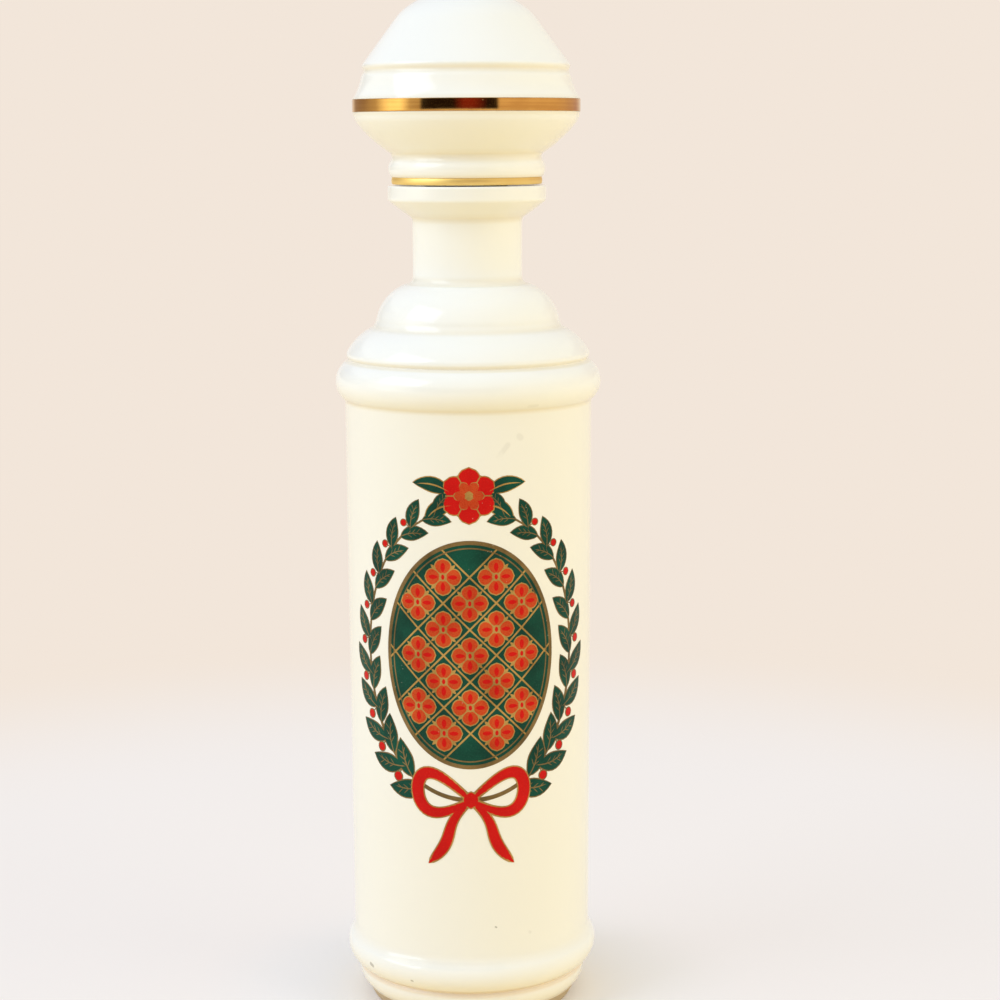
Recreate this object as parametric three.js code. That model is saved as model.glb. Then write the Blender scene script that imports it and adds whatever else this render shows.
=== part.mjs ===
// A slip-cast porcelain liquor decanter with a corked stopper, about 33 cm tall.
// Millimetres, +Z up. The origin is the middle of the foot, on the surface that the decanter stands on,
// and the decorated front faces -Y. Every piece is turned about the Z axis.
import * as THREE from "three";

// Barrel: the straight part of the bottle, which widens a little upwards.
const barrelRadius = 39.4;
const barrelFlare = 0.7;
const barrelHeight = 178.0;

// Foot, below the barrel: a rounded ring, a fine groove, and a foot that rounds in to a narrower rim.
const footRingHeight = 11.2;
const footRingBow = 2.9;
const footGroove = 0.5;
const footSetBack = 1.6;
const footHeight = 11.8;
const footTaper = 2.4;
const footBow = 0.8;
const footEdgeHeight = 4.4;
const footEdgeWidth = 2.3;
const restWidth = 4.2;
const baseRecess = 2.6;
const baseRecessSlope = 2.4;

// Shoulder, above the barrel: two rings and a dome, each set back from the barrel's top edge.
const lowerRingOverhang = 3.0;
const lowerRingHeight = 13.1;
const lowerRingCrest = 5.9;
const ringGrooveSetBack = 1.5;
const upperRingSetBack = 0.6;
const upperRingHeight = 10.4;
const upperRingCrest = 2.0;
const upperRingEdgeBow = 0.3;
const upperRingBow = 1.1;
const domeSetBack = 9.5;
const domeHeight = 16.1;
const domeStepHeight = 2.0;
const domeStepDepth = 0.9;
const domeBow = 2.1;

// Neck, and the collar round the mouth.
const neckRadius = 17.65;
const neckHeight = 18.8;
const neckFillet = 2.4;
const collarRadius = 25.5;
const collarConeHeight = 5.7;
const collarConeBow = 0.2;
const collarHeight = 4.7;
const collarEdge = 0.7;

// Walls and bore of the bottle.
const bottleWall = 4.0;
const bottleFloor = 4.2;
const cavityCorner = 5.0;
const neckWall = 5.15;
const mouthFlare = 0.7;
const mouthFlareDepth = 24.0;
const mouthChamfer = 0.8;

// Stopper head: a gilt foot, a bead and a bowl, up to the gilt band at its widest.
const headFootSetBack = 1.4;
const headFootHeight = 2.3;
const beadOverhang = 0.2;
const beadHeight = 5.3;
const beadBow = 0.9;
const waistGroove = 0.35;
const waistHeight = 2.1;
const bandRadius = 36.4;
const bandHeight = 4.0;
const bowlHeight = 8.7;
const bowlBow = 0.5;
const bowlRimSetBack = 2.0;
const bowlRimHeight = 4.4;
const bowlRimBow = 0.35;

// Stopper head, above the band: a cove, a groove and a domed crown.
const coveSetBack = 3.0;
const coveHeight = 7.4;
const coveBow = 0.4;
const crownGrooveDepth = 0.9;
const crownGrooveRise = 1.4;
const crownGrooveHeight = 1.8;
const crownHeight = 16.4;
const capRadius = 21.2;
const capHeight = 7.9;
const headWall = 4.0;
const headFloor = 4.0;

// Cork, and the glue that holds it in the head.
const corkDepth = 20.0;
const corkSpigot = 12.0;
const corkChamfer = 1.0;
const glueWidth = 2.6;
const glueHeight = 2.4;
const glueBow = 0.4;

// Gilding: a fired layer that lies in a shallow bed, so its outside is a hair proud of the glaze.
const giltThickness = 0.3;
const giltProud = 0.1;

// Clearances: round the cork, under the seated head, and under the gilding and the glue.
const corkFit = 0.3;
const seatGap = 0.35;
const bondGap = 0.05;

// How finely the pieces are rounded.
const turnSteps = 48;
const bowSteps = 5;

// Points between two knots, on the arc that swells by `bow` to the right of the way from start to end.
function bowed(start, end, bow) {
  const along = end.clone().sub(start);
  const chord = along.length();
  along.normalize();
  const right = new THREE.Vector2(along.y, -along.x);
  const middle = start.clone().add(end).multiplyScalar(0.5);
  const halfAngle = 2 * Math.atan((2 * bow) / chord);
  const radius = chord / (2 * Math.sin(halfAngle));
  const points = [];
  for (let step = 1; step < bowSteps; step++) {
    const angle = halfAngle * ((2 * step) / bowSteps - 1);
    points.push(
      middle
        .clone()
        .addScaledVector(along, radius * Math.sin(angle))
        .addScaledVector(right, radius * Math.cos(angle) - radius + bow),
    );
  }
  return points;
}

// The bow of an arc over this step out and this height that is upright at one end, as at a ring's crest.
function uprightBow(out, height) {
  return (Math.hypot(out, height) / 2) * Math.tan(Math.atan2(out, height) / 2);
}

// The bow of a quarter round with this radius.
function quarterBow(radius) {
  return radius * (1 - Math.SQRT1_2);
}

// A profile from knots [radius, height] or [radius, height, bow of the line that leads to the knot].
// Going up the outside of a piece, a positive bow swells away from the axis.
function profile(knots) {
  const points = [];
  for (const [radius, height, bow = 0] of knots) {
    const knot = new THREE.Vector2(radius, height);
    if (bow !== 0) {
      points.push(...bowed(points.at(-1), knot, bow));
    }
    points.push(knot);
  }
  return points;
}

// One piece turned about the Z axis from its profile.
function turned(name, knots, material) {
  const geometry = new THREE.LatheGeometry(profile(knots), turnSteps);
  geometry.rotateX(Math.PI / 2); // a lathe turns about Y
  const mesh = new THREE.Mesh(geometry, material);
  mesh.name = name;
  return mesh;
}

const porcelain = new THREE.MeshStandardMaterial({ color: 0xf7f3e6, roughness: 0.12, metalness: 0 });
const gold = new THREE.MeshStandardMaterial({ color: 0xd9a441, roughness: 0.18, metalness: 1 });
const cork = new THREE.MeshStandardMaterial({ color: 0xb98a5a, roughness: 0.85, metalness: 0 });
const glue = new THREE.MeshStandardMaterial({ color: 0xd8c9a0, roughness: 0.5, metalness: 0 });

// Heights of the bottle's mouldings above the surface that it stands on.
const barrelBottom = footHeight + footRingHeight;
const barrelTop = barrelBottom + barrelHeight;
const upperRingBottom = barrelTop + lowerRingHeight;
const domeBottom = upperRingBottom + upperRingHeight;
const neckBottom = domeBottom + domeHeight;
const neckTop = neckBottom + neckHeight;
const collarBottom = neckTop + collarConeHeight;
const lip = collarBottom + collarHeight;

// Radii of the bottle that follow from the barrel, the neck and each other.
const footRadius = barrelRadius - footSetBack;
const shoulderRadius = barrelRadius + barrelFlare;
const ringGrooveRadius = shoulderRadius - ringGrooveSetBack;
const domeRadius = shoulderRadius - domeSetBack;
const domeFootRadius = domeRadius - domeStepDepth;
const boreRadius = neckRadius - neckWall;
const mouthRadius = boreRadius + mouthFlare;

// The underside: a flat rim to rest on, round a shallow recess that keeps the middle off the table.
function bottleUnderside() {
  const rimRadius = footRadius - footTaper;
  const restOuter = rimRadius - footEdgeWidth;
  const restInner = restOuter - restWidth;
  return [
    [0, baseRecess],
    [restInner - baseRecessSlope, baseRecess],
    [restInner, 0],
    [restOuter, 0],
    [rimRadius, footEdgeHeight],
  ];
}

// The foot, its groove and ring, and the barrel.
function bottleBarrel() {
  return [
    [footRadius, footHeight - 2 * footGroove, footBow],
    [footRadius - footGroove, footHeight - footGroove],
    [footRadius, footHeight],
    [barrelRadius, barrelBottom, footRingBow],
    [shoulderRadius, barrelTop],
  ];
}

// The stepped shoulder, up to the foot of the neck.
function bottleShoulder() {
  const crestRadius = shoulderRadius + lowerRingOverhang;
  const underBow = uprightBow(lowerRingOverhang, lowerRingCrest);
  const overBow = uprightBow(crestRadius - ringGrooveRadius, lowerRingHeight - lowerRingCrest);
  return [
    [crestRadius, barrelTop + lowerRingCrest, underBow],
    [ringGrooveRadius, upperRingBottom, overBow],
    [shoulderRadius - upperRingSetBack, upperRingBottom + upperRingCrest, upperRingEdgeBow],
    [domeRadius, domeBottom, upperRingBow],
    [domeFootRadius, domeBottom + domeStepHeight],
    [neckRadius + neckFillet, neckBottom - neckFillet, domeBow],
    [neckRadius, neckBottom, -quarterBow(neckFillet)],
  ];
}

// The neck, and the collar that the stopper sits on.
function bottleNeck() {
  return [
    [neckRadius, neckTop],
    [collarRadius, collarBottom, collarConeBow],
    [collarRadius, lip - collarEdge],
    [collarRadius - collarEdge, lip, quarterBow(collarEdge)],
    [mouthRadius + mouthChamfer, lip],
  ];
}

// The inside, from the mouth down to the floor.
function bottleCavity() {
  const floor = baseRecess + bottleFloor;
  const cavityRadius = barrelRadius - bottleWall;
  return [
    [mouthRadius, lip - mouthChamfer],
    [boreRadius, lip - mouthChamfer - mouthFlareDepth],
    [boreRadius, neckBottom],
    [domeFootRadius - bottleWall, domeBottom, -domeBow],
    [ringGrooveRadius - bottleWall, upperRingBottom, -upperRingBow],
    [shoulderRadius - bottleWall, barrelTop],
    [cavityRadius, floor + cavityCorner],
    [cavityRadius - cavityCorner, floor, -quarterBow(cavityCorner)],
    [0, floor],
  ];
}

function decanterBody() {
  const knots = [
    ...bottleUnderside(),
    ...bottleBarrel(),
    ...bottleShoulder(),
    ...bottleNeck(),
    ...bottleCavity(),
  ];
  return turned("decanter_body", knots, porcelain);
}

// Heights of the stopper above the underside of its head.
const beadTop = headFootHeight + beadHeight;
const bowlBottom = beadTop + waistHeight;
const bowlTop = bowlBottom + bowlHeight;
const bandBottom = bowlTop + bowlRimHeight;
const bandTop = bandBottom + bandHeight;
const coveTop = bandTop + coveHeight;
const crownGroove = coveTop + crownGrooveRise;
const crownBottom = crownGroove + crownGrooveHeight;
const capBottom = crownBottom + crownHeight;
const headTop = capBottom + capHeight;

// Radii of the stopper that follow from the collar, the mouth, the band and the gilding.
const headFootRadius = collarRadius - headFootSetBack;
const beadRadius = headFootRadius + beadOverhang;
const corkRadius = mouthRadius - corkFit;
const socketRadius = corkRadius + corkFit;
const crownRadius = bandRadius - coveSetBack;
const giltBed = giltThickness + bondGap - giltProud;

// The outside of the head, from its foot to its top.
function headOutside() {
  return [
    [headFootRadius - giltBed, 0],
    [headFootRadius - giltBed, headFootHeight],
    [beadRadius, headFootHeight],
    [beadRadius, beadTop, beadBow],
    [beadRadius - waistGroove, beadTop + waistHeight / 2],
    [beadRadius, bowlBottom],
    [bandRadius - bowlRimSetBack, bowlTop, bowlBow],
    [bandRadius, bandBottom, bowlRimBow],
    [bandRadius - giltBed, bandBottom],
    [bandRadius - giltBed, bandTop],
    [bandRadius, bandTop],
    [crownRadius, coveTop, -coveBow],
    [crownRadius - crownGrooveDepth, crownGroove],
    [crownRadius, crownBottom],
    [capRadius, capBottom],
    [0, headTop, uprightBow(capHeight, capRadius)],
  ];
}

// The hollow that slip casting leaves in the head, down to the hole that the cork is glued into.
function headInside() {
  const throat = beadRadius - waistGroove - headWall;
  const vaultRadius = capRadius - headWall;
  const vaultHeight = capHeight - headWall / 2;
  return [
    [0, headTop - headWall],
    [vaultRadius, capBottom - headWall / 2, -uprightBow(vaultHeight, vaultRadius)],
    [crownRadius - crownGrooveDepth - headWall, crownGroove],
    [bandRadius - giltBed - headWall, bandBottom + bandHeight / 2],
    [throat, bowlBottom + headWall / 2],
    [throat, headFloor],
    [socketRadius, headFloor],
    [socketRadius, 0],
    [headFootRadius - giltBed, 0],
  ];
}

function stopperHead() {
  return turned("stopper_head", [...headOutside(), ...headInside()], porcelain);
}

// The cork tapers as the mouth does, and its spigot goes up into the head.
function stopperCork() {
  const mouth = -(seatGap + mouthChamfer);
  const bottom = -(seatGap + corkDepth);
  const taper = mouthFlare / mouthFlareDepth;
  const bottomRadius = corkRadius - taper * (mouth - bottom);
  const knots = [
    [0, bottom],
    [bottomRadius - corkChamfer, bottom],
    [bottomRadius, bottom + corkChamfer],
    [corkRadius, mouth],
    [corkRadius, corkSpigot - corkChamfer],
    [corkRadius - corkChamfer, corkSpigot],
    [0, corkSpigot],
  ];
  return turned("stopper_cork", knots, cork);
}

// A fillet of glue round the spigot, on the floor of the head, which keeps the cork in.
function corkGlue() {
  const inner = corkRadius + bondGap;
  const bottom = headFloor + bondGap;
  const knots = [
    [inner, bottom],
    [inner + glueWidth, bottom],
    [inner, bottom + glueHeight, -glueBow],
    [inner, bottom],
  ];
  return turned("cork_glue", knots, glue);
}

// A fired gold line lying in the bed that the head leaves for it.
function gilding(name, radius, bottom, top) {
  const outer = radius + giltProud;
  const inner = outer - giltThickness;
  const knots = [
    [inner, bottom + bondGap],
    [outer, bottom + bondGap],
    [outer, top - bondGap],
    [inner, top - bondGap],
    [inner, bottom + bondGap],
  ];
  return turned(name, knots, gold);
}

function stopper() {
  const group = new THREE.Group();
  group.add(
    stopperHead(),
    stopperCork(),
    corkGlue(),
    gilding("gilt_foot_line", headFootRadius, 0, headFootHeight),
    gilding("gilt_band", bandRadius, bandBottom, bandTop),
  );
  return group;
}

const decanter = new THREE.Group();
const seatedStopper = stopper();
seatedStopper.position.z = lip + seatGap;
decanter.add(decanterBody(), seatedStopper);

export default decanter;
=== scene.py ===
from math import atan, atan2, ceil, cos, hypot, pi, radians, sin, sqrt, tan, tau

import bmesh
import bpy
from mathutils import Matrix, Vector


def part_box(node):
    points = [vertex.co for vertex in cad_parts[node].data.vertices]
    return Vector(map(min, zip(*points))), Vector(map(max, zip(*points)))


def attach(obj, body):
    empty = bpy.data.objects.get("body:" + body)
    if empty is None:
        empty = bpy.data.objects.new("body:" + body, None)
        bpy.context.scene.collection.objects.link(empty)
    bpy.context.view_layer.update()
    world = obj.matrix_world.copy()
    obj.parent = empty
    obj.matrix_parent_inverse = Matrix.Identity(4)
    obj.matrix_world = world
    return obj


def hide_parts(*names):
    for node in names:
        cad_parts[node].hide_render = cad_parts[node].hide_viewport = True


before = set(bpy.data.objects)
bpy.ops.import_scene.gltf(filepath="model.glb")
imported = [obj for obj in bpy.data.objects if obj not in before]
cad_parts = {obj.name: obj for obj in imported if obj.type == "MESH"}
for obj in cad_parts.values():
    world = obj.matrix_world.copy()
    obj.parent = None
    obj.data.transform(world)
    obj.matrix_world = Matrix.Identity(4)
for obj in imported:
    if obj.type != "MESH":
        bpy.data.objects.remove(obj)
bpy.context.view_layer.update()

# The camera stands where the photograph was taken, about 73 cm in front of the decanter and 29 cm up.
# It looks down a little, leans by a quarter of a degree, and has the decanter left of its middle.
camera_distance = 0.730
camera_height = 0.2867
look_down = radians(9.3)
look_right = radians(0.8)
lean = radians(0.25)
lens_length = 81.0
sensor_width = 36.0

camera_data = bpy.data.cameras.new("camera")
camera_data.lens = lens_length
camera_data.sensor_width = sensor_width
camera = bpy.data.objects.new("camera", camera_data)
camera.matrix_world = (
    Matrix.Translation((0, -camera_distance, camera_height))
    @ Matrix.Rotation(-look_right, 4, "Z")
    @ Matrix.Rotation(pi / 2 - look_down, 4, "X")
    @ Matrix.Rotation(-lean, 4, "Z")
)
bpy.context.scene.collection.objects.link(camera)
bpy.context.scene.camera = camera
bpy.context.scene.view_settings.view_transform = "Standard"

# The bottle is one piece of porcelain, cast in a plaster mould: a ringed foot, a straight barrel, a stepped
# shoulder, and a neck with a collar. It is glazed inside and out, but for the rim that it stood on in the
# kiln, and the glaze gathers in its grooves. The cream of that glaze is partly painted shade in the grooves,
# and the rim's dark colour is painted contact shadow. Sizes are in millimetres, as on a mould maker's
# drawing.
barrel_radius = 39.4
barrel_flare = 0.7
barrel_height = 178.0
foot_ring_height = 11.2
foot_ring_bow = 2.9
foot_groove = 0.5
foot_set_back = 1.6
foot_height = 11.8
foot_taper = 2.4
foot_bow = 0.8
foot_edge_height = 4.4
foot_edge_width = 2.3
rest_width = 4.2
base_recess = 2.6
base_recess_slope = 2.4
lower_ring_overhang = 3.0
lower_ring_height = 13.1
lower_ring_crest = 5.9
ring_groove_set_back = 1.5
upper_ring_set_back = 0.6
upper_ring_height = 10.4
upper_ring_crest = 2.0
upper_ring_edge_bow = 0.3
upper_ring_bow = 1.1
dome_set_back = 9.5
dome_height = 16.1
dome_step_height = 2.0
dome_step_depth = 0.9
dome_bow = 2.1
neck_radius = 17.65
neck_height = 18.8
neck_fillet = 2.4
collar_radius = 25.5
collar_cone_height = 5.7
collar_cone_bow = 0.2
collar_height = 4.7
collar_edge = 0.7
bottle_wall = 4.0
bottle_floor = 4.2
cavity_corner = 5.0
neck_wall = 5.15
mouth_flare = 0.7
mouth_flare_depth = 24.0
mouth_chamfer = 0.8
millimetre = 0.001
bend_step = radians(6)
corner_steps = 5
most_softening = 0.45
support = 0.5
steps_around = 160
crease_angle = radians(50)
same_place = 0.001
pool_and_shade_reach = 1.6
pool_and_shade_depth = 0.6


def on_arc(start, end, bow, share):
    """The point at this share of the arc from start to end that swells by bow to the right of the way."""
    if not bow:
        return start.lerp(end, share)
    chord = end - start
    half_turn = 2 * atan(2 * bow / chord.length)
    radius = chord.length / (2 * sin(half_turn))
    turn = half_turn * (2 * share - 1)
    along = chord.normalized()
    right = Vector((along.y, -along.x))
    return (start + end) / 2 + along * radius * sin(turn) + right * (radius * (cos(turn) - 1) + bow)


def upright_bow(out, height):
    """The bow of an arc that is upright at one end, as at a ring's crest."""
    return hypot(out, height) / 2 * tan(atan2(out, height) / 2)


def quarter_bow(radius):
    """The bow of a quarter round."""
    return radius * (1 - sqrt(0.5))


def leg_shares(start, end, bow, first, last, spacing):
    """Where the points go on one leg of an outline: close to its ends if straight, evenly if not."""
    length = (end - start).length
    if spacing:
        count = ceil((last - first) * length / spacing)
        return [first + (last - first) * step / count for step in range(count + 1)]
    if bow:
        count = ceil(4 * abs(atan(2 * bow / length)) / bend_step) + 1
        return [first + (last - first) * step / count for step in range(count + 1)]
    if (last - first) * length < 4 * support:
        return [first, last]
    return [first, first + support / length, last - support / length, last]


def outline(knots, spacing=None):
    """The points of a profile, from knots (radius, height, bow of the leg that leads there, softness)."""
    points = []
    for number in range(1, len(knots)):
        start = Vector(knots[number - 1][:2])
        end = Vector(knots[number][:2])
        bow = knots[number][2]
        length = (end - start).length
        first = min(knots[number - 1][3] / length, most_softening)
        last = 1 - min(knots[number][3] / length, most_softening)
        if points and first:
            before = points[-1]
            after = on_arc(start, end, bow, first)
            for step in range(1, corner_steps):
                share = step / corner_steps
                points.append(before.lerp(start, share).lerp(start.lerp(after, share), share))
        for share in leg_shares(start, end, bow, first, last, spacing):
            point = on_arc(start, end, bow, share)
            if not points or (point - points[-1]).length > same_place:
                points.append(point)
    return points


def pooling_and_crease_shade(points):
    """How much glaze gathers and painted shade falls at each point of an outline, from how sharply it turns
    inwards.
    """
    turns = [0.0]
    for before, here, after in zip(points, points[1:], points[2:]):
        coming = here - before
        going = after - here
        turns.append(max(0.0, -(coming.x * going.y - coming.y * going.x) / (coming.length * going.length)))
    turns.append(0.0)
    places = [0.0]
    for before, here in zip(points, points[1:]):
        places.append(places[-1] + (here - before).length)
    pools_and_shade = []
    for place in places:
        near = (turn * max(0.0, 1 - abs(place - other) / pool_and_shade_reach) for turn, other in zip(turns, places))
        pools_and_shade.append(min(1.0, sum(near) / pool_and_shade_depth))
    return pools_and_shade


class Wire:
    """An output of a node. Arithmetic on it adds the nodes that work it out."""

    def __init__(self, graph, socket):
        self.graph = graph
        self.socket = socket

    def __add__(self, other):
        return self.graph.math("ADD", self, other)

    def __radd__(self, other):
        return self.graph.math("ADD", other, self)

    def __sub__(self, other):
        return self.graph.math("SUBTRACT", self, other)

    def __rsub__(self, other):
        return self.graph.math("SUBTRACT", other, self)

    def __mul__(self, other):
        return self.graph.math("MULTIPLY", self, other)

    def __rmul__(self, other):
        return self.graph.math("MULTIPLY", other, self)

    def __truediv__(self, other):
        return self.graph.math("DIVIDE", self, other)

    def __rtruediv__(self, other):
        return self.graph.math("DIVIDE", other, self)

    def __lt__(self, other):
        return self.graph.math("LESS_THAN", self, other)

    def __gt__(self, other):
        return self.graph.math("GREATER_THAN", self, other)

    def __getitem__(self, name):
        return Wire(self.graph, self.socket.node.outputs[name])


class Graph:
    """The nodes of one tree."""

    def __init__(self, tree):
        self.tree = tree

    def node(self, kind, settings=None, inputs=None, output=0):
        """Adds a node with these settings and inputs, and gives one of its outputs."""
        made = self.tree.nodes.new(kind)
        for name, value in (settings or {}).items():
            if name == "stops":
                while len(made.color_ramp.elements) < len(value):
                    made.color_ramp.elements.new(1.0)
                for stop, (place, colour) in zip(made.color_ramp.elements, value):
                    stop.position = place
                    stop.color = colour
            else:
                setattr(made, name, value)
        for name, value in (inputs or {}).items():
            for one in value if isinstance(value, list) else [value]:
                if isinstance(one, Wire):
                    self.tree.links.new(one.socket, made.inputs[name])
                else:
                    made.inputs[name].default_value = one
        return Wire(self, made.outputs[output]) if len(made.outputs) else None

    def math(self, operation, *values):
        """What a Math node makes of these values."""
        return self.node("ShaderNodeMath", {"operation": operation}, dict(enumerate(values)))

    def rise(self, value, low, high):
        """From 0 at low to 1 at high, smoothly, and the other way round where low is over high."""
        settings = {"interpolation_type": "SMOOTHSTEP"}
        return self.node("ShaderNodeMapRange", settings, {"Value": value, "From Min": low, "From Max": high})

    def mix(self, share, first, second):
        """A colour between two colours."""
        return self.node("ShaderNodeMix", {"data_type": "RGBA"}, {0: share, 6: first, 7: second}, output=2)

    def noise(self, place, scale, detail=2.0, seed=0.0):
        """Cloudy noise from 0 to 1, with about this many clouds to the metre."""
        settings = {"noise_dimensions": "4D"}
        inputs = {"Vector": place, "W": seed, "Scale": scale, "Detail": detail}
        return self.node("ShaderNodeTexNoise", settings, inputs)

    def vector(self, operation, *values, output="Vector"):
        """What a Vector Math node makes of these values."""
        return self.node("ShaderNodeVectorMath", {"operation": operation}, dict(enumerate(values)), output)

    def scaled(self, vector, share):
        """A vector times a number."""
        return self.node("ShaderNodeVectorMath", {"operation": "SCALE"}, {0: vector, "Scale": share})

    def sides(self, place):
        """A place's X, Y and Z."""
        return self.node("ShaderNodeSeparateXYZ", {}, {"Vector": place})

    def place_at(self, across, inwards, up):
        """A place from its X, Y and Z."""
        return self.node("ShaderNodeCombineXYZ", {}, {"X": across, "Y": inwards, "Z": up})


class Paint(Graph):
    """A material's tree, which looks up the place on the piece that it paints."""

    def __init__(self, name):
        self.material = bpy.data.materials.new(name)
        self.material.use_nodes = True
        self.material.node_tree.nodes.clear()
        super().__init__(self.material.node_tree)
        self.place = self.node("ShaderNodeTexCoord", output="Object")

    def relief(self, bumps, height):
        """The way that the surface faces, with bumps of this height in metres on it."""
        return self.node("ShaderNodeBump", {}, {"Height": bumps, "Distance": height}, "Normal")

    def finish_with(self, shader):
        """Ends the tree, and gives the material."""
        self.node("ShaderNodeOutputMaterial", {}, {"Surface": shader})
        return self.material

    def surface(self, inputs):
        """Ends the tree with a plain surface of these inputs, and gives the material."""
        return self.finish_with(self.node("ShaderNodeBsdfPrincipled", {}, inputs))


class Shape(Graph):
    """A Geometry Nodes tree with named inputs, the first of which is the mesh that it starts from."""

    def __init__(self, name):
        super().__init__(bpy.data.node_groups.new(name, "GeometryNodeTree"))
        self.entry = self.tree.nodes.new("NodeGroupInput")

    def given(self, name, kind="Float"):
        """Adds an input of this name to the tree, and gives what comes in there."""
        self.tree.interface.new_socket(name, in_out="INPUT", socket_type="NodeSocket" + kind)
        return Wire(self, self.entry.outputs[name])

    def finish_with(self, geometry, finish):
        """Ends the tree: real geometry, smooth faces, and the finish."""
        real = self.node("GeometryNodeRealizeInstances", {}, {"Geometry": geometry})
        smooth = self.node("GeometryNodeSetShadeSmooth", {}, {"Geometry": real})
        dressed = self.node("GeometryNodeSetMaterial", {}, {"Geometry": smooth, "Material": finish})
        self.tree.interface.new_socket("Shape", in_out="OUTPUT", socket_type="NodeSocketGeometry")
        exit_node = self.tree.nodes.new("NodeGroupOutput")
        self.tree.links.new(dressed.socket, exit_node.inputs[0])
        return self.tree


def made(name, tree, start, sizes):
    """The plain mesh object that a tree makes from a start mesh, with its faces outwards."""
    piece = bpy.data.objects.new(name, start)
    bpy.context.scene.collection.objects.link(piece)
    modifier = piece.modifiers.new("shape", "NODES")
    modifier.node_group = tree
    for item in tree.interface.items_tree:
        if item.in_out == "INPUT" and item.name in sizes:
            modifier[item.identifier] = sizes[item.name]
    shown = piece.evaluated_get(bpy.context.evaluated_depsgraph_get())
    plain = bpy.data.meshes.new_from_object(shown)
    piece.modifiers.clear()
    piece.data = plain
    plain.name = name
    shell = bmesh.new()
    shell.from_mesh(plain)
    bmesh.ops.recalc_face_normals(shell, faces=shell.faces)
    shell.to_mesh(plain)
    shell.free()
    plain.set_sharp_from_angle(angle=crease_angle)
    return piece


def wheel():
    """The tree that spins an outline round the Z axis, and keeps how much glaze gathers and painted shade
    falls on it.
    """
    shape = Shape("turned_piece")
    start = shape.given("Outline", "Geometry")
    around = shape.given("Steps Around", "Int")
    finish = shape.given("Finish", "Material")
    count = shape.node("GeometryNodeAttributeDomainSize", {}, {"Geometry": start})
    sheet = shape.node("GeometryNodeMeshGrid", {}, {"Vertices X": around + 1, "Vertices Y": count})
    index = shape.node("GeometryNodeInputIndex")
    step = shape.math("FLOOR", index / count)
    knot = index - step * count
    place = shape.node(
        "GeometryNodeSampleIndex",
        {"data_type": "FLOAT_VECTOR"},
        {"Geometry": start, "Value": shape.node("GeometryNodeInputPosition"), "Index": knot},
    )
    pool_and_shade_there = shape.node("GeometryNodeInputNamedAttribute", {}, {"Name": "pool"})
    pool = shape.node(
        "GeometryNodeSampleIndex",
        {"data_type": "FLOAT"},
        {"Geometry": start, "Value": pool_and_shade_there, "Index": knot},
    )
    sides = shape.sides(place)
    turn = step * tau / around
    across = sides["X"] * shape.math("COSINE", turn)
    inwards = sides["X"] * shape.math("SINE", turn)
    spun = shape.place_at(across, inwards, sides["Z"])
    placed = shape.node("GeometryNodeSetPosition", {}, {"Geometry": sheet, "Position": spun})
    with_pool_and_shade = {"Geometry": placed, "Name": "pool", "Value": pool}
    kept = shape.node("GeometryNodeStoreNamedAttribute", {}, with_pool_and_shade)
    closing = {"Geometry": kept, "Distance": same_place * millimetre}
    joined = shape.node("GeometryNodeMergeByDistance", {}, closing)
    return shape.finish_with(joined, finish)


turning = wheel()


def turned(name, knots, finish, spacing=None):
    """A piece turned round the Z axis, from its outline's knots in millimetres."""
    points = outline(knots, spacing)
    wire = bpy.data.meshes.new(name)
    places = [(radius * millimetre, 0, height * millimetre) for radius, height in points]
    edges = [(number, number + 1) for number in range(len(points) - 1)]
    wire.from_pydata(places, edges, [])
    wire.attributes.new("pool", "FLOAT", "POINT").data.foreach_set("value", pooling_and_crease_shade(points))
    return made(name, turning, wire, {"Steps Around": steps_around, "Finish": finish})


def mark(paint, start, end, radius):
    """1 on a straight mark from start to end, in metres, fading to 0 at its edge."""
    full_share = 0.4
    along = tuple(last - first for first, last in zip(start, end))
    square = sum(part * part for part in along)
    offset = paint.vector("SUBTRACT", paint.place, start)
    reach = paint.vector("DOT_PRODUCT", offset, along, output="Value")
    share = paint.node("ShaderNodeClamp", {}, {"Value": reach / square})
    gap = paint.vector("DISTANCE", offset, paint.scaled(along, share), output="Value")
    return paint.rise(gap, radius, radius * full_share)


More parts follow.
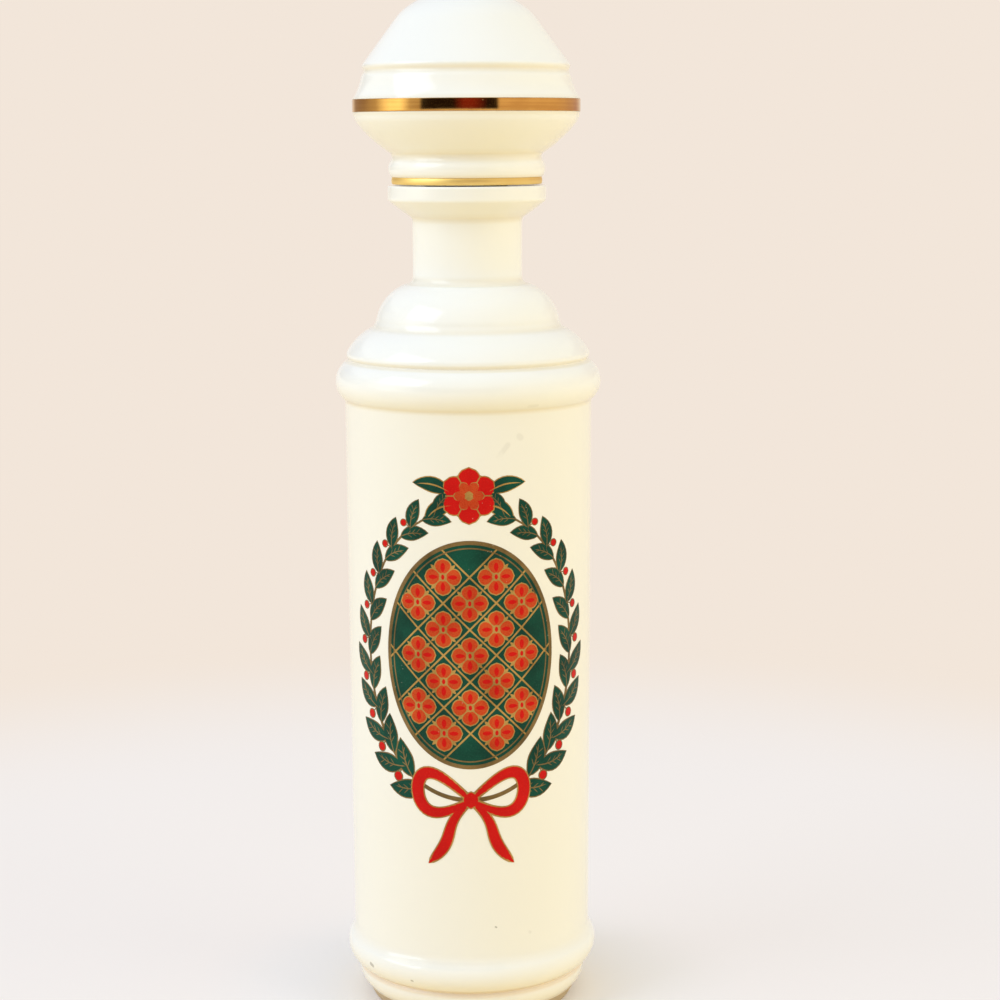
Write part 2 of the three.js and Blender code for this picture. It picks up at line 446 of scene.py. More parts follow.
def glazed_porcelain():
    """White porcelain under a clear glaze: clouds, creamy grooves, specks, faint marks, a dusty channel and
    an unglazed rim. The grooves' cream and the channel's tan are partly painted shade, the rim's dark colour
    painted shadow.
    """
    white = (0.93, 0.925, 0.905, 1)
    warm = (0.92, 0.905, 0.86, 1)
    cream_and_painted_shade = (0.86, 0.78, 0.62, 1)
    clay_with_painted_contact_shadow = (0.52, 0.43, 0.32, 1)
    groove_dust_and_shade = (0.82, 0.63, 0.47, 1)
    speck_colour = (0.16, 0.14, 0.11, 1)
    cloud_scale = 18.0
    smudge_scale = 55.0
    speck_scale = 75.0
    speck_radius = 0.00022
    speck_reach = 1.6
    speck_core = 0.6
    speck_share = 0.1
    speck_strength = 0.5
    glaze_marks = [
        ((-0.0332, -0.0249, 0.0172), (-0.0326, -0.0257, 0.0168), 0.0009),
        ((-0.0197, -0.0362, 0.0156), (-0.0193, -0.0364, 0.0155), 0.0005),
        ((0.0076, -0.0386, 0.0345), (0.0079, -0.0386, 0.0343), 0.0004),
    ]
    faint_marks = [
        ((0.0187, -0.0347, 0.0313), (0.0189, -0.0346, 0.0311), 0.0007),
        ((0.0188, -0.0370, 0.2027), (0.0213, -0.0356, 0.2028), 0.0009),
        ((0.0158, -0.0369, 0.1932), (0.0162, -0.0367, 0.1928), 0.0014),
    ]
    smear = ((0.0122, -0.0382, 0.1907), (0.0094, -0.0390, 0.1872), 0.0012)
    smear_scale = 260.0
    smear_start = 0.36
    smear_full = 0.56
    faint_strength = 0.085
    warm_share = 0.8
    cream_and_shade_share = 0.55
    groove_shade_start = 0.0022
    groove_shade_full = 0.0004
    least_groove_shade = 0.3
    smudged_groove_shade = 0.3
    glaze_edge_drift = 0.0006
    glaze_edge_blur = 0.4
    wave_scale = 42.0
    ripple_scale = 900.0
    ripple_share = 0.02
    wave_height = 0.00012
    glaze_roughness = 0.07
    smudge_roughness = 0.09
    clay_roughness = 0.6
    paint = Paint("glazed_porcelain")
    sides = paint.sides(paint.place)
    height = sides["Z"]
    radius = paint.math("SQRT", sides["X"] * sides["X"] + sides["Y"] * sides["Y"])
    pool = paint.node("ShaderNodeAttribute", {"attribute_name": "pool"}, output="Fac")
    clouds = paint.noise(paint.place, cloud_scale)
    smudges = paint.noise(paint.place, smudge_scale, detail=4.0, seed=3.0)
    speck_cells = {"Vector": paint.place, "Scale": speck_scale}
    cells = paint.node("ShaderNodeTexVoronoi", {"voronoi_dimensions": "3D"}, speck_cells)
    chance = paint.node("ShaderNodeSeparateColor", {}, {"Color": cells["Color"]}, output="Red")
    size = speck_radius * speck_scale
    specks = paint.rise(cells["Distance"], size * speck_reach, size * speck_core) * (chance > 1 - speck_share)
    for start, end, reach in glaze_marks:
        specks = specks + mark(paint, start, end, reach)
    patches = paint.noise(paint.place, smear_scale, detail=2.0, seed=9.0)
    broken = paint.rise(patches, smear_start, smear_full)
    faint = broken * mark(paint, *smear)
    for start, end, reach in faint_marks:
        faint = faint + mark(paint, start, end, reach)
    groove_middle = (foot_height - foot_groove) * millimetre
    groove_shade_and_dirt = paint.rise(paint.math("ABSOLUTE", height - groove_middle), groove_shade_start, groove_shade_full)
    edge = height + (smudges - 0.5) * glaze_edge_drift
    below = paint.rise(edge, foot_edge_height * millimetre, (foot_edge_height - glaze_edge_blur) * millimetre)
    unglazed_and_shadowed_rim = below * paint.rise(radius, (rest_inner - glaze_edge_blur) * millimetre, rest_inner * millimetre)
    colour = paint.mix(clouds * warm_share, white, warm)
    # Cream where the outline turns inwards: partly glaze gathered in the grooves, partly painted shade there.
    colour = paint.mix(pool * cream_and_shade_share, colour, cream_and_painted_shade)
    colour = paint.mix(specks * speck_strength + faint * faint_strength, colour, speck_colour)
    # Tan in the channel above the foot: partly dusty glaze, partly painted shade under the foot ring.
    colour = paint.mix(groove_shade_and_dirt * (smudges * smudged_groove_shade + least_groove_shade), colour, groove_dust_and_shade)
    # The unglazed rim is coloured darker than clay: painted contact shadow where the foot meets the floor.
    colour = paint.mix(unglazed_and_shadowed_rim, colour, clay_with_painted_contact_shadow)
    ripples = paint.noise(paint.place, ripple_scale, detail=1.0, seed=5.0)
    waves = paint.noise(paint.place, wave_scale, detail=1.0, seed=7.0) + ripples * ripple_share
    return paint.surface(
        {
            "Base Color": colour,
            "Roughness": glaze_roughness + smudges * smudge_roughness + unglazed_and_shadowed_rim * clay_roughness,
            "Normal": paint.relief(waves, wave_height),
            "IOR": 1.52,
        }
    )


barrel_bottom = foot_height + foot_ring_height
barrel_top = barrel_bottom + barrel_height
upper_ring_bottom = barrel_top + lower_ring_height
dome_bottom = upper_ring_bottom + upper_ring_height
neck_bottom = dome_bottom + dome_height
neck_top = neck_bottom + neck_height
collar_bottom = neck_top + collar_cone_height
lip = collar_bottom + collar_height
foot_radius = barrel_radius - foot_set_back
rim_radius = foot_radius - foot_taper
rest_outer = rim_radius - foot_edge_width
rest_inner = rest_outer - rest_width
shoulder_radius = barrel_radius + barrel_flare
crest_radius = shoulder_radius + lower_ring_overhang
ring_groove_radius = shoulder_radius - ring_groove_set_back
dome_radius = shoulder_radius - dome_set_back
dome_foot_radius = dome_radius - dome_step_depth
bore_radius = neck_radius - neck_wall
mouth_radius = bore_radius + mouth_flare
cavity_radius = barrel_radius - bottle_wall
cavity_floor = base_recess + bottle_floor

under_bow = upright_bow(lower_ring_overhang, lower_ring_crest)
over_bow = upright_bow(crest_radius - ring_groove_radius, lower_ring_height - lower_ring_crest)
bottle_foot = [
    (0, base_recess, 0, 0),
    (rest_inner - base_recess_slope, base_recess, 0, 1.0),
    (rest_inner, 0, 0, 0.7),
    (rest_outer, 0, 0, 0.5),
    (rim_radius, foot_edge_height, 0, 0.5),
    (foot_radius, foot_height - 2 * foot_groove, foot_bow, 0.4),
    (foot_radius - foot_groove, foot_height - foot_groove, 0, 0.3),
    (foot_radius, foot_height, 0, 0.4),
    (barrel_radius, barrel_bottom, foot_ring_bow, 2.2),
]
bottle_shoulder = [
    (shoulder_radius, barrel_top, 0, 0.7),
    (crest_radius, barrel_top + lower_ring_crest, under_bow, 0.3),
    (ring_groove_radius, upper_ring_bottom, over_bow, 0.5),
    (shoulder_radius - upper_ring_set_back, upper_ring_bottom + upper_ring_crest, upper_ring_edge_bow, 0.7),
    (dome_radius, dome_bottom, upper_ring_bow, 0.7),
    (dome_foot_radius, dome_bottom + dome_step_height, 0, 0.7),
    (neck_radius + neck_fillet, neck_bottom - neck_fillet, dome_bow, 0.8),
]
bottle_neck = [
    (neck_radius, neck_bottom, -quarter_bow(neck_fillet), 0.4),
    (neck_radius, neck_top, 0, 1.2),
    (collar_radius, collar_bottom, collar_cone_bow, 0.6),
    (collar_radius, lip - collar_edge, 0, 0.2),
    (collar_radius - collar_edge, lip, quarter_bow(collar_edge), 0.2),
    (mouth_radius + mouth_chamfer, lip, 0, 0.4),
    (mouth_radius, lip - mouth_chamfer, 0, 0.4),
]
bottle_cavity = [
    (bore_radius, lip - mouth_chamfer - mouth_flare_depth, 0, 1.0),
    (bore_radius, neck_bottom, 0, 1.0),
    (dome_foot_radius - bottle_wall, dome_bottom, -dome_bow, 1.5),
    (ring_groove_radius - bottle_wall, upper_ring_bottom, -upper_ring_bow, 1.5),
    (shoulder_radius - bottle_wall, barrel_top, 0, 1.5),
    (cavity_radius, cavity_floor + cavity_corner, 0, 1.0),
    (cavity_radius - cavity_corner, cavity_floor, -quarter_bow(cavity_corner), 0.5),
    (0, cavity_floor, 0, 0),
]
porcelain = glazed_porcelain()
bottle = turned("bottle", bottle_foot + bottle_shoulder + bottle_neck + bottle_cavity, porcelain)
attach(bottle, "decanter")
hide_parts("decanter_body")

# The stopper's head is cast hollow in the same porcelain: a foot with a gilt line, a bead, a wide bowl up to
# the gilt band, and a cove under a domed crown. Each gilt line lies in a bed a quarter of a millimetre deep.
head_foot_set_back = 1.4
head_foot_height = 2.3
bead_overhang = 0.2
bead_height = 5.3
bead_bow = 0.9
waist_groove = 0.35
waist_height = 2.1
band_radius = 36.4
band_height = 4.0
bowl_height = 8.7
bowl_bow = 0.5
bowl_rim_set_back = 2.0
bowl_rim_height = 4.4
bowl_rim_bow = 0.35
cove_set_back = 3.0
cove_height = 7.4
cove_bow = 0.4
crown_groove_depth = 0.9
crown_groove_rise = 1.4
crown_groove_height = 1.8
crown_height = 16.4
cap_radius = 21.2
cap_height = 7.9
head_wall = 4.0
head_floor = 4.0
gilt_bed = 0.25

head_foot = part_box("stopper_head")[0].z / millimetre
bead_bottom = head_foot + head_foot_height
bead_top = bead_bottom + bead_height
bowl_bottom = bead_top + waist_height
bowl_top = bowl_bottom + bowl_height
band_bottom = bowl_top + bowl_rim_height
band_top = band_bottom + band_height
cove_top = band_top + cove_height
crown_groove = cove_top + crown_groove_rise
crown_bottom = crown_groove + crown_groove_height
cap_bottom = crown_bottom + crown_height
head_top = cap_bottom + cap_height
head_foot_radius = collar_radius - head_foot_set_back
bead_radius = head_foot_radius + bead_overhang
waist_radius = bead_radius - waist_groove
crown_radius = band_radius - cove_set_back
crown_groove_radius = crown_radius - crown_groove_depth
throat_radius = waist_radius - head_wall
vault_radius = cap_radius - head_wall
vault_bottom = cap_bottom - head_wall / 2
vault_bow = upright_bow(head_top - head_wall - vault_bottom, vault_radius)
head_inside = [
    (0, head_top - head_wall, 0, 0),
    (vault_radius, vault_bottom, -vault_bow, 1.0),
    (crown_groove_radius - head_wall, crown_groove, 0, 1.0),
    (band_radius - gilt_bed - head_wall, band_bottom + band_height / 2, 0, 1.0),
    (throat_radius, bowl_bottom + head_wall / 2, 0, 1.0),
    (throat_radius, head_foot + head_floor, 0, 0.8),
    (mouth_radius, head_foot + head_floor, 0, 0.3),
]
head_outside = [
    (mouth_radius, head_foot, 0, 0.3),
    (head_foot_radius - gilt_bed, head_foot, 0, 0.1),
    (head_foot_radius - gilt_bed, bead_bottom, 0, 0.1),
    (bead_radius, bead_bottom, 0, 0.1),
    (bead_radius, bead_top, bead_bow, 0.5),
    (waist_radius, bead_top + waist_height / 2, 0, 0.5),
    (bead_radius, bowl_bottom, 0, 0.7),
    (band_radius - bowl_rim_set_back, bowl_top, bowl_bow, 2.0),
    (band_radius, band_bottom, bowl_rim_bow, 0.15),
    (band_radius - gilt_bed, band_bottom, 0, 0.1),
    (band_radius - gilt_bed, band_top, 0, 0.1),
    (band_radius, band_top, 0, 0.2),
    (crown_radius, cove_top, -cove_bow, 0.8),
    (crown_groove_radius, crown_groove, 0, 0.7),
    (crown_radius, crown_bottom, 0, 0.7),
    (cap_radius, cap_bottom, 0, 2.5),
    (0, head_top, upright_bow(cap_height, cap_radius), 0),
]
head = turned("stopper_crown", head_inside + head_outside, porcelain)
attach(head, "stopper")
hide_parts("stopper_head")

# Two lines of gold are brushed on over the glaze while the stopper turns on a wheel, and fired again: a wide
# bright one round the head's widest part, and a fine satin one round its foot. Both are a little worn.
gilt_thickness = 0.3
gilt_proud = 0.1
gilt_band_swell = 0.01
gilt_line_swell = 0.22
gilt_edge = 0.07
gilt_hidden_edge = 0.02
bond_gap = 0.05


def fired_gold(name, full, thin, dullness):
    """Fired gold: brush streaks that run round the line, a few thin places and fine wear."""
    worn = (0.62, 0.50, 0.36, 1)
    streak_stretch = (14.0, 14.0, 1400.0)
    patch_scale = 90.0
    scuff_scale = 700.0
    thin_start = 1.25
    thin_full = 0.8
    thin_share = 0.6
    scuff_start = 0.90
    scuff_full = 1.02
    scuff_patchiness = 0.4
    scuffed_metal = 0.8
    streak_roughness = 0.07
    scuff_roughness = 0.3
    streak_height = 0.000005
    streak_relief = 0.6
    patch_relief = 0.4
    paint = Paint(name)
    stretched = paint.vector("MULTIPLY", paint.place, streak_stretch)
    streaks = paint.noise(stretched, 1.0, detail=3.0, seed=1.0)
    patches = paint.noise(paint.place, patch_scale, detail=3.0, seed=2.0)
    scuffing = paint.noise(paint.place, scuff_scale, detail=4.0, seed=4.0) + patches * scuff_patchiness
    scuffs = paint.rise(scuffing, scuff_start, scuff_full)
    thinness = paint.rise(streaks + patches, thin_start, thin_full)
    colour = paint.mix(thinness * thin_share, full, thin)
    return paint.surface(
        {
            "Base Color": paint.mix(scuffs, colour, worn),
            "Metallic": 1 - scuffs * scuffed_metal,
            "Roughness": dullness + streaks * streak_roughness + scuffs * scuff_roughness,
            "Normal": paint.relief(streaks * streak_relief + patches * patch_relief, streak_height),
        }
    )


def gilt_line(name, node, finish, radius, bottom, top, swell):
    """One gilt line, from the radius of the glaze round it, the edges of its bed and how far it swells."""
    outer = radius + gilt_proud - swell
    inner = radius + gilt_proud - gilt_thickness
    low = bottom + bond_gap
    high = top - bond_gap
    middle = (low + high) / 2
    knots = [
        (inner, middle, 0, 0),
        (inner, low, 0, gilt_hidden_edge),
        (outer, low, 0, gilt_edge),
        (outer, high, swell, gilt_edge),
        (inner, high, 0, gilt_hidden_edge),
        (inner, middle, 0, 0),
    ]
    line = turned(name, knots, finish)
    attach(line, "stopper")
    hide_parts(node)


satin_gold = fired_gold("satin_gold", full=(1, 0.77, 0.28, 1), thin=(0.88, 0.63, 0.20, 1), dullness=0.44)
bright_gold = fired_gold("bright_gold", full=(0.80, 0.48, 0.14, 1), thin=(0.58, 0.30, 0.08, 1), dullness=0.06)
foot_line_bed = (head_foot_radius, head_foot, bead_bottom)
band_bed = (band_radius, band_bottom, band_top)
gilt_line("gilt_line_at_foot", "gilt_foot_line", satin_gold, *foot_line_bed, gilt_line_swell)
gilt_line("gilt_line_at_band", "gilt_band", bright_gold, *band_bed, gilt_band_swell)

# The cork is punched from bark and turned to the mouth's taper. Its upper end is a straight plug that goes up
# into the head. Its pores are real pits, and liquor has stained its lower end.
cork_fit = 0.3
cork_chamfer = 1.0
cork_spacing = 0.6
pit_depth = 0.35
pit_scale = 260.0
pit_squash = (1.0, 0.45, 1.6)
pit_rim = 0.42
pit_bottom = 0.12
smooth_share = 0.6
stain_height = 6.0
stain_full_height = 1.0
cork_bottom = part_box("stopper_cork")[0].z / millimetre
cork_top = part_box("stopper_cork")[1].z / millimetre
cork_radius = mouth_radius - cork_fit
cork_seat = lip - mouth_chamfer
cork_tip_radius = cork_radius - (cork_seat - cork_bottom) * mouth_flare / mouth_flare_depth


def pores(graph, place):
    """How deep a pore is at a place in the bark, from 0 to 1. Pores lie flat, across the cork."""
    squashed = graph.vector("MULTIPLY", place, pit_squash)
    cells = graph.node("ShaderNodeTexVoronoi", {}, {"Vector": squashed, "Scale": pit_scale})
    chance = graph.node("ShaderNodeTexWhiteNoise", {}, {"Vector": cells["Position"]})
    return graph.rise(cells["Distance"], pit_rim, pit_bottom) * (chance > smooth_share)


def pitted():
    """The tree that sinks a bark's pores into a piece."""
    shape = Shape("pitted_bark")
    start = shape.given("Bark", "Geometry")
    depth = shape.given("Pit Depth")
    finish = shape.given("Finish", "Material")
    place = shape.node("GeometryNodeInputPosition")
    normal = shape.node("GeometryNodeInputNormal")
    sink = pores(shape, place) * depth * -1
    offset = shape.scaled(normal, sink)
    sunk = shape.node("GeometryNodeSetPosition", {}, {"Geometry": start, "Offset": offset})
    return shape.finish_with(sunk, finish)


def bark_cork():
    """Cork bark: two browns in soft clouds, dark pores, fine grain and a liquor stain at the lower end."""
    pale = (0.60, 0.40, 0.22, 1)
    brown = (0.42, 0.25, 0.12, 1)
    pore_colour = (0.12, 0.06, 0.03, 1)
    stain_colour = (0.20, 0.09, 0.035, 1)
    cloud_scale = 120.0
    grain_scale = 1500.0
    brown_start = 0.35
    brown_full = 0.65
    grain_start = 0.45
    grain_full = 0.75
    grain_share = 0.5
    stain_drift = 0.006
    stain_share = 0.75
    pore_share = 0.85
    dry_roughness = 0.88
    stain_gloss = 0.25
    grain_height = 0.0002
    grain_relief = 0.5
    paint = Paint("bark_cork")
    clouds = paint.noise(paint.place, cloud_scale, detail=4.0, seed=1.0)
    grain = paint.noise(paint.place, grain_scale, detail=3.0, seed=2.0)
    pits = pores(paint, paint.place)
    edge = paint.sides(paint.place)["Z"] + (clouds - 0.5) * stain_drift
    stain_top = (cork_bottom + stain_height) * millimetre
    stain = paint.rise(edge, stain_top, (cork_bottom + stain_full_height) * millimetre)
    colour = paint.mix(paint.rise(clouds, brown_start, brown_full), pale, brown)
    colour = paint.mix(paint.rise(grain, grain_start, grain_full) * grain_share, colour, brown)
    colour = paint.mix(stain * stain_share, colour, stain_colour)
    colour = paint.mix(pits * pore_share, colour, pore_colour)
    return paint.surface(
        {
            "Base Color": colour,
            "Roughness": dry_roughness - stain * stain_gloss,
            "Normal": paint.relief(grain * grain_relief + clouds - pits, grain_height),
        }
    )


cork_knots = [
    (0, cork_bottom, 0, 0),
    (cork_tip_radius - cork_chamfer, cork_bottom, 0, 0.6),
    (cork_tip_radius, cork_bottom + cork_chamfer, 0, 0.6),
    (cork_radius, cork_seat, 0, 0.5),
    (cork_radius, cork_top - cork_chamfer, 0, 0.4),
    (cork_radius - cork_chamfer, cork_top, 0, 0.4),
    (0, cork_top, 0, 0),
]
bark = bark_cork()
smooth_cork = turned("smooth_cork", cork_knots, bark, cork_spacing)
cork_sizes = {"Pit Depth": pit_depth * millimetre, "Finish": bark}
cork = made("tapered_cork", pitted(), smooth_cork.data, cork_sizes)
bpy.data.objects.remove(smooth_cork)
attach(cork, "stopper")
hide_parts("stopper_cork")

# A fillet of brown glue holds the cork's plug in the head. It was run in warm, so it is cloudy and has small
# bubbles, and it has gone dull with age.


def aged_glue():
    """Dried glue: amber with paler clouds and small bubbles."""
    amber = (0.50, 0.34, 0.14, 1)
    pale_amber = (0.74, 0.62, 0.40, 1)
    bubble_colour = (0.80, 0.72, 0.55, 1)
    cloud_scale = 160.0
    bubble_scale = 900.0
    bubble_edge = 0.35
    bubble_top = 0.15
    bubble_share = 0.4
    bubble_height = 0.0002
    bubble_relief = 0.3
    glue_roughness = 0.35
    cloud_roughness = 0.3
    paint = Paint("aged_glue")
    clouds = paint.noise(paint.place, cloud_scale, detail=3.0, seed=1.0)
    cells = paint.node("ShaderNodeTexVoronoi", {}, {"Vector": paint.place, "Scale": bubble_scale})
    bubbles = paint.rise(cells["Distance"], bubble_edge, bubble_top)
    colour = paint.mix(clouds, amber, pale_amber)
    return paint.surface(
        {
            "Base Color": paint.mix(bubbles * bubble_share, colour, bubble_colour),
            "Roughness": glue_roughness + clouds * cloud_roughness,
            "Normal": paint.relief(clouds + bubbles * bubble_relief, bubble_height),
        }
    )


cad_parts["cork_glue"].material_slots[0].material = aged_glue()

# The decoration is enamel, printed flat in ground glass, slid onto the glaze and fired. Each colour stands a
# few hundredths of a millimetre above the one below it. The middle is an oval green medallion with a darker
# rim, under a trellis in printed gold. The rim's darker gold is the printed gold with a painted dark
# reflection.
enamel_root = 0.03
enamel_edge_fall = 0.25
enamel_edge_sharpness = 4
plate_columns = 4
row_spacing = 1.5
same_corner = 0.0001
medallion_height = 124.0
medallion_half_width = 27.5
medallion_half_height = 36.0
outer_rim_outset = 0.2
outer_rim_half_width = 0.65
inner_rim_inset = 1.6
inner_rim_half_width = 0.22
trellis_pitch = 16.8
trellis_half_width = 0.28
trellis_lines_each_way = 6
shortest_trellis_line = 1.5 * trellis_pitch
field_lift = 0.04
line_lift = 0.07
rim_lift = 0.08
outline_lift = 0.09
petal_lift = 0.11
heart_lift = 0.13
dot_lift = 0.15
barrel = {
    "Barrel Radius": barrel_radius * millimetre,
    "Barrel Bottom": barrel_bottom * millimetre,
    "Flare": barrel_flare / barrel_height,
}


def plate(spine, halves, lift, closed=False):
    """A thin plate of enamel along a spine, a little domed, as points (across, inwards, up) and faces."""
    rows = []
    for number, (middle, half) in enumerate(zip(spine, halves)):
        before = spine[number - 1] if number or closed else middle
        after = spine[(number + 1) % len(spine)] if closed or number + 1 < len(spine) else middle
        along = (after - before).normalized()
        side = Vector((along.y, -along.x)) * half
        fall = enamel_edge_fall if half else 0
        shares = [2 * column / plate_columns - 1 for column in range(plate_columns + 1)]
        flat = [middle + side * share for share in shares]
        rises = [lift * (1 - fall * share ** enamel_edge_sharpness) for share in shares]
        upper = [(point.x, -rise, point.y) for point, rise in zip(flat, rises)]
        rows.append(upper + [(point.x, enamel_root, point.y) for point in reversed(flat)])
    size = len(rows[0])
    faces = []
    for row in range(len(rows) if closed else len(rows) - 1):
        here = row * size
        there = (row + 1) % len(rows) * size
        for corner in range(size):
            following = (corner + 1) % size
            faces.append((here + corner, here + following, there + following, there + corner))
    if not closed:
        faces.append(range(size))
        faces.append(range(len(rows) * size - size, len(rows) * size))
    return [point for row in rows for point in row], faces


def bar(start, end, half, lift):
    """A straight line of enamel."""
    count = ceil((end - start).length / row_spacing)
    spine = [start.lerp(end, step / count) for step in range(count + 1)]
    return plate(spine, [half] * len(spine), lift)


def disc(middle, radius, lift, rows=8):
    """A round spot of enamel."""
    turns = [pi * row / rows for row in range(rows + 1)]
    spine = [middle + Vector((0, -radius * cos(turn))) for turn in turns]
    halves = [0] + [radius * sin(turn) for turn in turns[1:-1]] + [0]
    return plate(spine, halves, lift)


def oval(middle, half_width, half_height, half, lift):
    """A closed line of enamel round an oval."""
    count = ceil(tau * max(half_width, half_height) / row_spacing)
    turns = [tau * step / count for step in range(count)]
    spine = [middle + Vector((half_width * cos(turn), half_height * sin(turn))) for turn in turns]
    return plate(spine, [half] * count, lift, closed=True)


def blade(root, direction, length, width, lift, bend=0.0, fullness=0.8, belly=0.9, rows=9):
    """A petal or a leaf of enamel, pointed at both ends, that leaves its root in this direction."""
    ahead = Vector((sin(direction), cos(direction)))
    aside = Vector((ahead.y, -ahead.x))
    spine = []
    halves = []
    for row in range(rows + 1):
        share = row / rows
        spine.append(root + ahead * length * share + aside * bend * sin(pi * share))
        halves.append(width / 2 * sin(pi * share ** belly) ** fullness if 0 < row < rows else 0)
    return plate(spine, halves, lift)


def edged(root, direction, length, width, lift, edge, **form):
    """The outline under a petal or a leaf, wider than it by the edge all round."""
    start = root - Vector((sin(direction), cos(direction))) * edge
    return blade(start, direction, length + 2 * edge, width + 2 * edge, lift, **form)


def flat_mesh(name, plates):
    """A mesh of flat artwork in metres, with the pointed ends of each plate closed."""
    shell = bmesh.new()
    for points, faces in plates:
        corners = [shell.verts.new([length * millimetre for length in point]) for point in points]
        made_faces = [shell.faces.new([corners[number] for number in face]) for face in faces]
        bmesh.ops.recalc_face_normals(shell, faces=made_faces)
        bmesh.ops.remove_doubles(shell, verts=corners, dist=same_corner * millimetre)
    mesh = bpy.data.meshes.new(name)
    shell.to_mesh(mesh)
    shell.free()
    return mesh


def roll_on(shape, artwork, finish):
    """Ends a tree of flat artwork: rolls it round the barrel, so that across runs round and up stays up."""
    radius = shape.given("Barrel Radius")
    bottom = shape.given("Barrel Bottom")
    flare = shape.given("Flare")
    real = shape.node("GeometryNodeRealizeInstances", {}, {"Geometry": artwork})
    sides = shape.sides(shape.node("GeometryNodeInputPosition"))
    under = radius + (sides["Z"] - bottom) * flare
    reach = under - sides["Y"]
    turn = sides["X"] / under
    across = reach * shape.math("SINE", turn)
    inwards = 0 - reach * shape.math("COSINE", turn)
    place = shape.place_at(across, inwards, sides["Z"])
    rolled = shape.node("GeometryNodeSetPosition", {}, {"Geometry": real, "Position": place})
    return shape.finish_with(rolled, finish)


def laying():
    """The tree for artwork that is used once."""
    shape = Shape("laid_on_the_barrel")
    artwork = shape.given("Artwork", "Geometry")
    finish = shape.given("Finish", "Material")
    return roll_on(shape, artwork, finish)


def latticing():
    """The tree that repeats a motif in the cells of a trellis, as far as an oval reaches."""
    shape = Shape("in_the_trellis")
    motif = shape.given("Motif", "Geometry")
    finish = shape.given("Finish", "Material")
    count = shape.given("Count", "Int")
    pitch = shape.given("Pitch")
    half_width = shape.given("Half Width")
    half_height = shape.given("Half Height")
    middle = shape.given("Middle Height")
    side = (count - 1) * pitch / 2
    sheet_sizes = {"Size X": side, "Size Y": side, "Vertices X": count, "Vertices Y": count}
    sheet = shape.node("GeometryNodeMeshGrid", {}, sheet_sizes)
    sides = shape.sides(shape.node("GeometryNodeInputPosition"))
    across = sides["X"] + sides["Y"]
    up = sides["X"] - sides["Y"]
    reach = shape.math("POWER", across / half_width, 2) + shape.math("POWER", up / half_height, 2)
    kept = shape.node("GeometryNodeDeleteGeometry", {}, {"Geometry": sheet, "Selection": reach > 1})
    place = shape.place_at(across, 0, up + middle)
    points = shape.node("GeometryNodeSetPosition", {}, {"Geometry": kept, "Position": place})
    motifs = shape.node("GeometryNodeInstanceOnPoints", {}, {"Points": points, "Instance": motif})
    return roll_on(shape, motifs, finish)


def spraying():
    """The tree that sets a motif along an oval's arc, on one side or on both by turns, and mirrors it all."""
    shape = Shape("along_the_branch")
    motif = shape.given("Motif", "Geometry")
    finish = shape.given("Finish", "Material")
    count = shape.given("Count", "Int")
    half_width = shape.given("Half Width")
    half_height = shape.given("Half Height")
    middle = shape.given("Middle Height")
    first = shape.given("First Angle")
    last = shape.given("Last Angle")
    spread = shape.given("Spread")
    alternation = shape.given("Alternation")
    taper = shape.given("Taper")
    unevenness = shape.given("Unevenness")
    seed = shape.given("Seed", "Int")
    line = shape.node("GeometryNodeMeshLine", {}, {"Count": count})
    index = shape.node("GeometryNodeInputIndex")
    share = index / (count - 1)
    angle = first + (last - first) * share
    across = half_width * shape.math("COSINE", angle)
    up = half_height * shape.math("SINE", angle)
    place = shape.place_at(across, 0, middle + up)
    points = shape.node("GeometryNodeSetPosition", {}, {"Geometry": line, "Position": place})
    climb = half_height * shape.math("COSINE", angle)
    drift = 0 - half_width * shape.math("SINE", angle)
    side = 1 - shape.math("MODULO", index, 2) * 2 * alternation
    least_most_and_seed = {2: -1.0, 3: 1.0, "Seed": seed}
    chance = shape.node("FunctionNodeRandomValue", {"data_type": "FLOAT"}, least_most_and_seed, output=1)
    turn = shape.math("ARCTAN2", drift, climb) + side * spread + chance * unevenness
    size = 1 - share * taper
    sprigs = shape.node(
        "GeometryNodeInstanceOnPoints",
        {},
        {
            "Points": points,
            "Instance": motif,
            "Rotation": shape.place_at(0, turn, 0),
            "Scale": shape.place_at(size, size, size),
        },
    )
    right = shape.node("GeometryNodeRealizeInstances", {}, {"Geometry": sprigs})
    sides = shape.sides(shape.node("GeometryNodeInputPosition"))
    flipped = shape.place_at(0 - sides["X"], sides["Y"], sides["Z"])
    left = shape.node("GeometryNodeSetPosition", {}, {"Geometry": right, "Position": flipped})
    both = shape.node("GeometryNodeJoinGeometry", {}, {"Geometry": [right, left]})
    return roll_on(shape, both, finish)


laid = laying()
latticed = latticing()
sprayed = spraying()


